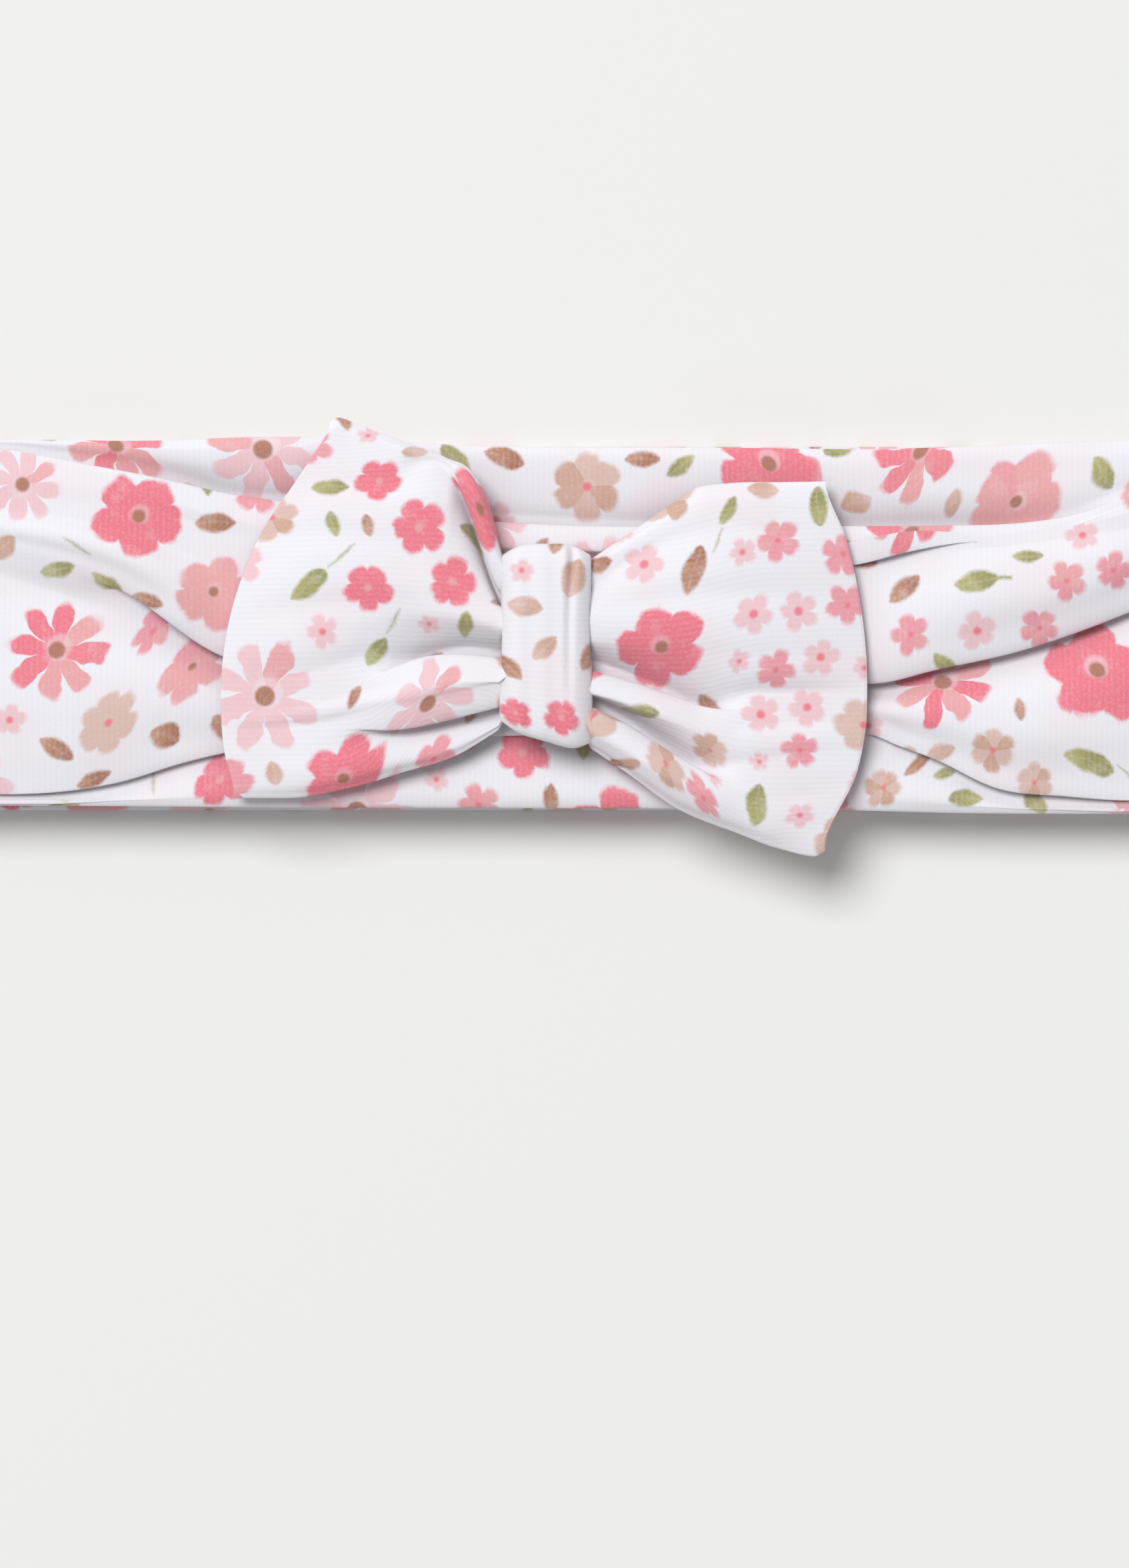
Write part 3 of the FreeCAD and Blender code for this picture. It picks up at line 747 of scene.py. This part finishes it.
LEFT_MOTIFS = [
    (-24, 22.4, "small", 3.7, 10), (-18.3, 15.6, "small", 4.2, 0), (-13.5, 7.9, "small", 3.9, 40),
    (-25.6, 6.9, "small", 3.9, 20), (-9.5, 19, "blossom", 4.4, 30), (-34, 7.4, "olive leaf", 3.4, 42),
    (-40.5, -8.6, "daisy", 8.6, 0), (-17, -9.8, "daisy", 7, 20), (-29.2, -20.6, "blossom", 6.4, 30),
    (-31, 21.6, "olive leaf", 2.8, 0), (-30.6, 16.2, "olive leaf", 2.2, 100),
    (-29.4, 11.5, "stem", 2.7, 42), (-24.4, -2.2, "olive leaf", 2.6, 60),
    (-21.9, 2.1, "stem", 2.4, 60), (-11.6, 1.2, "olive leaf", 2.4, 85),
]
RIGHT_MOTIFS = [
    (16.6, -1.6, "blossom", 6.9, 75), (21.2, 9.4, "brown leaf", 3.4, 75),
    (33.3, 13.8, "coral", 3.4, 10), (13.6, -11.2, "olive leaf", 3, 14), (17.2, -18, "sand", 3.2, 0),
    (29.8, 3.1, "dotted", 3.1, 20), (36.3, 3.6, "dotted", 3.1, 0), (39.5, -3, "dotted", 3, 40),
    (33, -4.9, "coral", 3.1, 30), (30.9, -11.2, "dotted", 3.1, 0), (37.6, -10.2, "dotted", 3, 10),
    (42.8, 11.9, "coral", 3.5, 50), (28.2, 12, "dotted", 2.2, 0), (24.6, 13.6, "stem", 2, 62),
    (43.4, 4.5, "coral", 3.3, 20), (36.5, -16.4, "coral", 2.9, 60),
    (39.3, 18.8, "olive leaf", 3.3, 95), (26.2, 18.2, "olive leaf", 2.3, 60),
    (30.2, -24.2, "olive leaf", 3.4, 84), (23.6, -16.6, "sand", 2.9, 0),
    (22.6, -23, "coral", 2.9, 10),
]
KNOT_MOTIFS = [
    (-3, 4.2, "sand leaf", 2.6, -8), (-0.2, -1.8, "sand leaf", 2.3, 40),
    (3.9, 8.4, "sand leaf", 3.1, 75), (-4.4, -11.2, "small", 2.7, 0), (2.2, -11.8, "small", 2.7, 20),
]

# The wings' paths are (share of the wing's length, x, y), from the knot to its outer edge.
LEFT_WING = [
    {  # upper edge
        "path": [(0, -6.3, 11.8), (0.07, -8.3, 19.5), (0.14, -10.3, 23.1), (0.3, -14.4, 25.7),
                 (0.6, -21.2, 28.3), (0.85, -26.9, 30.4), (0.96, -30.1, 31.5), (1, -31.3, 30.8)],
        "height": [(0, 3.4), (0.12, 4.4), (0.26, 3.1), (0.6, 2.4), (1, 1.6)],
        "puff": [(0, 0.2), (0.3, 0.2), (1, 0)],
    },
    {  # pleat at the upper root
        "kind": OVER, "tuck": 1.6,
        "path": [(0, -6.9, 6.8), (0.05, -8, 9), (0.1, -9.4, 13), (0.16, -11.4, 18.5),
                 (0.24, -13.2, 22.4), (0.6, -23, 23.2), (1, -34.4, 25)],
        "shut": [(0, 1), (0.15, 0.95), (0.22, 0.3), (0.26, 0)],
        "above": [(0, 4.6), (0.12, 5.4), (0.2, 4.4), (0.26, 3.2), (0.6, 2.6), (1, 1.6)],
        "below": [(0, 1.4), (0.1, 1.4), (0.2, 2.4), (0.26, 3.1), (0.6, 2.6), (1, 1.6)],
        "puff": [(0, 0.2), (0.3, 0.5), (0.7, 0.6), (1, 0)],
    },
    {  # plain
        "path": [(0, -6.8, 4.4), (0.3, -17, 11), (0.6, -27, 14.5), (1, -41.2, 14.7)],
        "above": [(0, 3.2), (0.3, 3.4), (0.6, 2.9), (1, 1.6)],
        "below": [(0, 3.8), (0.3, 3.6), (0.6, 2.9), (1, 1.6)],
        "puff": [(0, 0.3), (0.3, 0.5), (0.7, 0.8), (1, 0)],
    },
    {  # plain
        "path": [(0, -6.8, 1.2), (0.3, -18, 3.5), (0.6, -30, 4.4), (1, -45.7, 2.4)],
        "height": [(0, 4.2), (0.15, 4.2), (0.35, 3.8), (0.6, 3), (1, 1.6)],
        "puff": [(0, 0.2), (0.3, 0.1), (0.7, 0.7), (1, 0)],
    },
    {  # pleat above the middle strand
        "kind": UNDER, "tuck": [(0, 2.4), (0.3, 1.6), (0.55, 0.4)],
        "path": [(0, -6.8, -3.2), (0.15, -12.8, -2.7), (0.26, -16.8, -3), (0.47, -25.6, -5.1),
                 (0.64, -33, -7.2), (1, -46.9, -8.6)],
        "shut": [(0, 1), (0.32, 0.95), (0.42, 0.45), (0.52, 0)],
        "above": [(0, 1.6), (0.15, 1), (0.34, 1.3), (0.46, 2.4), (0.6, 2.9), (1, 1.6)],
        "below": [(0, 5.4), (0.2, 5.4), (0.36, 4.2), (0.46, 3.3), (0.6, 2.9), (1, 1.6)],
        "puff": [(0, 0.5), (0.3, 0.9), (0.7, 0.6), (1, 0)],
    },
    {  # pleat below it
        "kind": OVER, "tuck": [(0, 2.4), (0.25, 1.6), (0.5, 0.3)],
        "path": [(0, -6.8, -10.2), (0.3, -19.6, -13.2), (0.46, -25.4, -13.7), (0.64, -33, -14.8),
                 (1, -46.5, -15.9)],
        "shut": [(0, 1), (0.38, 1), (0.5, 0.5), (0.62, 0)],
        "above": [(0, 4.9), (0.2, 4.7), (0.4, 3.9), (0.56, 2.8), (1, 1.6)],
        "below": [(0, 1.2), (0.2, 1.2), (0.4, 1.7), (0.56, 2.5), (1, 1.6)],
        "puff": [(0, 0.2), (0.3, 0.7), (0.7, 0.5), (1, 0)],
    },
    {  # lower edge
        "path": [(0, -6.9, -13.4), (0.13, -12.4, -16.8), (0.35, -20.7, -19.5), (0.6, -29, -21.9),
                 (0.8, -37.3, -23.2), (1, -45, -23.2)],
        "height": [(0, 1.8), (0.3, 1.6), (1, 1.5)],
    },
]
RIGHT_WING = [
    {  # upper edge
        "path": [(0, 6.4, 11), (0.15, 12, 14.8), (0.3, 17.6, 18.7), (0.42, 21.6, 21.3), (0.55, 26, 22),
                 (0.8, 34, 22.2), (1, 40.4, 22.3)],
        "height": [(0, 3), (0.3, 2.6), (0.6, 2.2), (1, 1.6)],
        "puff": [(0, 0.2), (0.5, 0.5), (1, 0)],
    },
    {  # plain
        "path": [(0, 6.6, 7), (0.3, 17, 13.5), (0.6, 28, 15.5), (1, 43.3, 14)],
        "height": [(0, 2.6), (0.2, 2.6), (0.6, 2.7), (1, 1.6)],
        "puff": [(0, 0.3), (0.5, 0.8), (1, 0)],
    },
    {  # plain
        "path": [(0, 6.6, 3), (0.3, 18, 5.5), (0.6, 30, 6), (1, 45.3, 5)],
        "height": [(0, 4), (0.2, 4), (0.6, 3.1), (1, 1.6)],
        "puff": [(0, 0.3), (0.5, 0.8), (1, 0)],
    },
    {  # plain
        "path": [(0, 6.6, -1), (0.3, 18, -1.5), (0.6, 30, -3), (1, 46.2, -3)],
        "above": [(0, 3.4), (0.2, 3.4), (0.6, 3.2), (1, 1.6)],
        "below": [(0, 3.6), (0.2, 3.9), (0.6, 3.4), (1, 1.6)],
        "puff": [(0, 0.2), (0.4, 0.3), (0.7, 0.6), (1, 0)],
    },
    {  # pleat above the middle strand
        "kind": UNDER, "tuck": [(0, 2.4), (0.3, 1.6), (0.55, 0.4)],
        "path": [(0, 6.4, -4.9), (0.18, 13.3, -6.9), (0.3, 18, -8.5), (0.46, 24, -10.3),
                 (0.64, 31, -10.2), (1, 46.3, -10)],
        "shut": [(0, 1), (0.42, 1), (0.52, 0.6), (0.62, 0)],
        "above": [(0, 1.2), (0.15, 0.8), (0.4, 0.9), (0.6, 2.1), (1, 1.6)],
        "below": [(0, 5), (0.25, 4.9), (0.42, 4), (0.6, 2.9), (1, 1.6)],
        "puff": [(0, 0.2), (0.3, 0.3), (0.7, 0.6), (1, 0)],
    },
    {  # pleat below it
        "kind": UNDER, "tuck": [(0, 2.2), (0.25, 1.6), (0.5, 0.4)],
        "path": [(0, 6.6, -10.2), (0.12, 11.5, -12.6), (0.25, 16.2, -15.6), (0.4, 22, -18.9),
                 (0.55, 28, -20.6), (1, 44.9, -19.3)],
        "shut": [(0, 1), (0.36, 1), (0.46, 0.5), (0.55, 0)],
        "above": [(0, 1.4), (0.2, 1.2), (0.4, 1.8), (0.6, 2.8), (1, 1.6)],
        "below": [(0, 5.6), (0.25, 5.6), (0.4, 4.6), (0.6, 3.1), (1, 1.6)],
        "puff": [(0, 0.3), (0.3, 0.6), (0.7, 0.6), (1, 0)],
    },
    {  # lower edge
        "path": [(0, 6.4, -16), (0.15, 12.1, -19.9), (0.3, 18, -24.2), (0.55, 27.9, -28.4),
                 (0.8, 34, -30.6), (0.95, 38.7, -31.6), (1, 40.2, -30.8)],
        "height": [(0, 2.2), (0.3, 2), (0.6, 1.8), (1, 1.5)],
    },
]
WING_STEP = 0.014  # between sections, as a share of a wing's length
WING_RIM = 0.955  # where a wing's layers begin to close on its outer edge
EDGE_GROOVE = 0.22  # depth of the line that the turned seam leaves inside a wing's outer edge
ROOT_RISE = 0.9  # of the back layer off the band, at the knot
WING_CLEAR = 0.3  # millimetres that its front layer's folds stay off its back layer
WING_RIPPLE = 0.12
UNDER_KNOT = 0.17  # how far a wing runs on under the knot, as a share of its length
UNDER_KNOT_SHRINK = 0.35  # how much narrower it gets there
TOWARDS_MIDDLE = 0.75  # how much of its hinge's distance from the middle it covers there
EDGE_HEIGHT, EDGE_ROUNDING = 0.75, 1.0  # its turned edges' share of the rails' height, and their radius
RIM_TURNS = 0.85  # where a wing's sections begin to follow the curve of its outer edge
RIM_LEVEL = 0.85  # height of the line on which its two layers close


def wing(name, rails, placed, side):
    """One wing of the bow: two layers sewn round the edge and turned, pleated on into the knot."""
    inside = np.linspace(-UNDER_KNOT, 0, 7)[:-1]
    rim = WING_RIM + (1 - WING_RIM) * np.sin(np.linspace(0, math.pi / 2, 9))
    stations = np.concatenate([inside, np.arange(0, WING_RIM, WING_STEP), rim])
    back = level([(0, ROOT_RISE), (0.2, 0.15), (1, 0.1)], stations)
    section = closed_section(stations, rails, EDGE_HEIGHT, back, EDGE_ROUNDING)
    s = stations[:, None]
    x, y = section[..., 0], section[..., 1]
    height = clear_of_back(section[..., 2], back[:, None] + WING_CLEAR)
    # Near the outer edge and along the turned edges, sections follow the curve of the outer edge.
    paths = [smooth(rail["path"], stations) for rail in rails]
    near_rim = np.clip((s - RIM_TURNS) / (1 - RIM_TURNS), 0, 1)
    x = x + (outline_x(paths, y) - x) * np.maximum(near_rim, towards_edge(x.shape[1]))
    # The front layer ripples, and both layers close on each other just outside the seam's groove.
    front = np.clip((height - back[:, None] - 0.8) / 1.2, 0, 1)
    height = height + front * np.clip(1 - s, 0, 1) ** 2 * WING_RIPPLE * ripple(y / 8, s * 1.2, 11 + side)
    closing = np.sqrt(np.clip(1 - ((np.maximum(s, WING_RIM) - WING_RIM) / (1 - WING_RIM)) ** 2, 0, 1))
    height = height - front * EDGE_GROOVE * np.exp(-(((s - WING_RIM - 0.012) / 0.006) ** 2))
    height = RIM_LEVEL + (height - RIM_LEVEL) * closing
    # Under the knot, it narrows and runs on towards the other wing.
    under = np.clip(-s / UNDER_KNOT, 0, 1)
    x = x - side * HINGE_X * TOWARDS_MIDDLE * under
    y = y - (y + 1) * UNDER_KNOT_SHRINK * np.sqrt(under)
    points = np.stack([x, y, WING_BASE + height], -1)
    flat = np.stack([x, y, height], -1)
    across = along_section(flat, section.shape[1] // 2)
    fabric = np.stack([x, across], -1)
    motifs = print_of(points, fabric, placed, seed=31 + side, largest=5)
    if side < 0:
        points, fabric = points[::-1], fabric[::-1]
    return cloth_mesh(name, points, fabric, motifs)


KNOT_WIDTH = [(-17.4, 6.5), (-12, 6.7), (-4, 6.4), (5, 6.3), (11, 6.5), (13.5, 5.8)]  # (y, half width)
KNOT_Y = (-15.2, 13.3)  # the wrap's lower and upper end
KNOT_LEAN = -0.28  # how far its lower end runs down towards the right
KNOT_SQUARENESS = 0.55  # of the ring's section: 1 is an ellipse, and less is squarer
KNOT_COLUMNS = 49  # across the wrap, between its turned side edges


def knot_wrap():
    """The wrap: a ring round the bow's waist, its two side edges turned in, with lengthwise creases."""
    turns = np.linspace(0, 2 * math.pi, 145)
    inward = np.linspace(0.12, 0.5, 4)  # how far the turned edges reach towards the ring's middle
    rim = np.ones(len(inward))
    shares = np.concatenate([-rim, np.linspace(-1, 1, KNOT_COLUMNS), rim])
    turned_in = np.concatenate([inward[::-1], np.zeros(KNOT_COLUMNS), inward])
    t, s = np.meshgrid(turns, shares, indexing="ij")
    half_y, half_z = (KNOT_Y[1] - KNOT_Y[0]) / 2, (KNOT_TOP - KNOT_BASE) / 2
    middle_y, middle_z = sum(KNOT_Y) / 2, (KNOT_TOP + KNOT_BASE) / 2
    cy, cz = np.cos(t), np.sin(t)
    y = middle_y + half_y * np.sign(cy) * np.abs(cy) ** KNOT_SQUARENESS
    z = middle_z + half_z * np.sign(cz) * np.abs(cz) ** KNOT_SQUARENESS
    # It sinks in towards its side edges, in a lengthwise valley above and in a gather below.
    edge = np.clip((np.abs(s) - 0.35) / 0.65, 0, 1)
    top = np.clip(cz * 1.6, 0, 1)
    valley = np.exp(-(((s - 0.52 - 0.1 * cy) / 0.1) ** 2)) * np.clip(0.5 + cy, 0, 1) * top
    gather = np.exp(-(((s + 0.35) / 0.16) ** 2)) * np.clip(-cy - 0.1, 0, 1) * top
    ripples = top * (1 - edge) * ripple(s * 0.9, t * 0.3, 5)
    sink = 2.1 * edge**2.6 + 0.9 * valley + 0.4 * gather - 0.16 * ripples
    out = np.stack([cy * half_z, cz * half_y], -1)
    out /= np.linalg.norm(out, axis=-1, keepdims=True)
    y, z = y - sink * out[..., 0], z - sink * out[..., 1]
    x = s * level(KNOT_WIDTH, y.ravel()).reshape(y.shape)
    low = np.clip((middle_y - y) / half_y, 0, 1)
    y = y + x * KNOT_LEAN * low**1.5
    y, z = y + (middle_y - y) * turned_in, z + (middle_z - z) * turned_in
    points = np.stack([x, y, z], -1)
    round_length = np.linalg.norm(np.diff(points[:, len(shares) // 2], axis=0), axis=1).cumsum()
    v = np.concatenate([[0], round_length])[:, None] * np.ones_like(s)
    crest = v[len(turns) // 4, 0]
    fabric = np.stack([x, crest + middle_y - v], -1)
    motifs = print_of(points, fabric, KNOT_MOTIFS, seed=5, largest=2.6)
    return cloth_mesh("knot_wrap_cloth", points, fabric, motifs)


# --- Small pieces ---------------------------------------------------------------------------------

UNPRINTED = [(99, 99, "dotted", 1, 0)]  # one motif, which lies off the piece
PLY_PITCH = 0.28  # millimetres along a thread from one ply to the next
WEFT_PITCH, WARP_PITCH, SELVEDGE = 0.3, 0.18, 1.0  # of the tape: between its threads, and its dense edge


def flat_strip(name, node, thickness, seam_valley, seed):
    """A thin strip on the loop's inside, where its node is: a little wavy, and closed round its edges."""
    low, high = corner(node, 0), corner(node, 1)
    share = np.sin(np.linspace(-1, 1, 91) * math.pi / 2)[:, None]
    turn = np.linspace(0, 2 * math.pi, 121)[None, :]
    out, up = np.cos(turn).round(9), np.sin(turn).round(9)
    middle, half = (low + high) / 2, (high - low) / 2
    drawn_in = 1 - 0.012 * (1 + ripple(share * 3, out, seed))
    x = middle[0] + half[0] * np.sign(out) * np.abs(out) ** 0.3 * drawn_in
    y = middle[1] + half[1] * share
    ends = (1 - share**24) ** 0.5
    wave = (1 + ripple(share * half[1] / 9, x / 14, seed + 1)) / 2
    z = low[2] + thickness / 2 + np.clip(wave, 0, 1) * (2 * half[2] - thickness)
    z = z + thickness / 2 * ends * np.sign(up) * np.abs(up) ** 0.5
    z = z - seam_valley * ends * np.exp(-(((x - middle[0]) / 0.3) ** 2)) * np.clip(up, 0, 1)
    points = np.stack(np.broadcast_arrays(x, y, z), -1)
    return cloth_mesh(name, points, points[..., :2], UNPRINTED)


def fine_material(name, colour, shade, roughness, sheen):
    """A material's node tree, its surface shader, and its surface's place in millimetres."""
    material, tree, surface = new_material(name)
    place = wires(tree, "ShaderNodeVectorMath", ["Vector"], operation="SCALE",
                  vector=wires(tree, "ShaderNodeTexCoord", ["Object"]), scale=1 / MM)
    cloud = wires(tree, "ShaderNodeTexNoise", ["Fac"], vector=place, scale=1.4, detail=3.0)
    plug(tree, surface.inputs["Base Color"], blended(tree, cloud, colour, shade))
    surface.inputs["Roughness"].default_value = roughness
    surface.inputs["Sheen Weight"].default_value = sheen
    return material, tree, surface, place


def thread():
    """White sewing thread: two plies that wind round each other."""
    colour, shade = (0.9, 0.89, 0.9, 1), (0.8, 0.79, 0.8, 1)
    material, tree, surface, place = fine_material("thread", colour, shade, 0.6, 0.2)
    x, y, z = place.parts("XYZ")
    relief(tree, surface, (x + y + z).wave(PLY_PITCH), 0.03)
    return material


def satin_tape():
    """Blank woven label tape: fine crosswise ribs, with a denser edge along both sides."""
    colour, shade = (0.93, 0.93, 0.92, 1), (0.88, 0.88, 0.87, 1)
    material, tree, surface, place = fine_material("satin_tape", colour, shade, 0.42, 0.1)
    x, y = place.parts("XY")
    weft, warp = x.wave(WEFT_PITCH), y.wave(WARP_PITCH)
    low, high = corner("care_label", 0)[1], corner("care_label", 1)[1]
    selvedge = (abs(y - (low + high) / 2) - ((high - low) / 2 - SELVEDGE)).ramp(0.0, 0.2)
    relief(tree, surface, weft * 0.3 + warp * 0.3 + selvedge, 0.04)
    return material


# --- Scene ----------------------------------------------------------------------------------------

FLOOR_HALF, FLOOR_COLOUR = 3.0, (0.88, 0.887, 0.866, 1)
SURROUND_STRENGTH = 0.345
KEY_SIZE, KEY_POWER = 3.4, 305  # metres across, and watts
KEY_X, KEY_DISTANCE, KEY_ELEVATION = -1.9, 6.0, math.radians(66)


def studio():
    """Pale floor, one large soft light from beyond the band's upper edge, and a bright even surround."""
    mesh = bpy.data.meshes.new("floor")
    r = FLOOR_HALF
    mesh.from_pydata([(-r, -r, 0), (r, -r, 0), (r, r, 0), (-r, r, 0)], [], [(0, 1, 2, 3)])
    material, _, surface = new_material("floor_paper")
    surface.inputs["Base Color"].default_value = FLOOR_COLOUR
    surface.inputs["Roughness"].default_value = 1.0
    surface.inputs["Specular IOR Level"].default_value = 0.0
    mesh.materials.append(material)
    added("floor", mesh)
    world = bpy.data.worlds.new("surround")
    world.use_nodes = True
    background = world.node_tree.nodes["Background"]
    background.inputs["Color"].default_value = (1, 1, 1, 1)
    background.inputs["Strength"].default_value = SURROUND_STRENGTH
    bpy.context.scene.world = world
    light = bpy.data.lights.new("key", "AREA")
    light.shape = "DISK"
    light.size = KEY_SIZE
    light.energy = KEY_POWER
    key = added("key", light)
    beyond, above = math.cos(KEY_ELEVATION), math.sin(KEY_ELEVATION)
    key.location = (KEY_X, KEY_DISTANCE * beyond, KEY_DISTANCE * above)
    key.rotation_euler = key.location.to_track_quat("Z", "Y").to_euler()


PICTURE_HEIGHT, PICTURE_CENTRE = 226.8 * MM, (2.65 * MM, -21.25 * MM)
PICTURE_LEVEL = 11 * MM  # the height above the floor at which the picture shows that much


def camera():
    """Straight down on the band, framed as a tall picture."""
    data = bpy.data.cameras.new("camera")
    data.lens = 135
    data.sensor_width = 36
    eye = added("camera", data)
    distance = PICTURE_HEIGHT * data.lens / data.sensor_width
    eye.location = (*PICTURE_CENTRE, distance + PICTURE_LEVEL)
    bpy.context.scene.camera = eye


bpy.context.scene.view_settings.view_transform = "Standard"
camera()
studio()
band_left, band_right = band()
left_wing = wing("left_wing_cloth", LEFT_WING, LEFT_MOTIFS, -1)
right_wing = wing("right_wing_cloth", RIGHT_WING, RIGHT_MOTIFS, 1)
knot = knot_wrap()
allowance = flat_strip(
    "back_seam_allowance_cloth", "back_seam_allowance", thickness=0.36, seam_valley=0.12, seed=7
)
label = flat_strip("care_label_tape", "care_label", thickness=0.12, seam_valley=0.0, seed=9)

FINISHES = [
    # material, the record's slot, pieces
    (jersey("band_jersey", 0), "jersey_print", (band_left, band_right, allowance)),
    (jersey("bow_jersey", 1), "bow_jersey", (left_wing, right_wing, knot)),
    (satin_tape(), "label_tape", (label,)),
]
for material, slot_name, pieces in FINISHES:
    for piece in pieces:
        piece.data.materials.append(material)
thread_material = thread()
for node in ("back_seam_stitches", "bow_tack_stitches", "knot_wrap_stitches"):
    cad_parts[node].material_slots[0].material = thread_material

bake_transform(band_left)
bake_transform(band_right)
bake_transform(left_wing)
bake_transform(right_wing)
for piece in (knot, allowance, label):
    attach(piece, "band")

for layer in ("outer_panel", "inner_panel"):
    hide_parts(layer + "_left", layer + "_front", layer + "_back")
    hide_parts(layer + "_right")
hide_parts("edge_seams_left", "edge_seams_centre")
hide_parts("edge_seams_right")
for piece, side in ((left_wing, "left"), (right_wing, "right")):
    for part in ("front_ply", "back_ply", "edge_seam", "root_gather"):
        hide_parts(f"{side}_wing_{part}")
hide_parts("bow_waist_front_ply")
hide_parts("bow_waist_back_ply")
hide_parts("knot_wrap")
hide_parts("back_seam_allowance")
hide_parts("care_label")
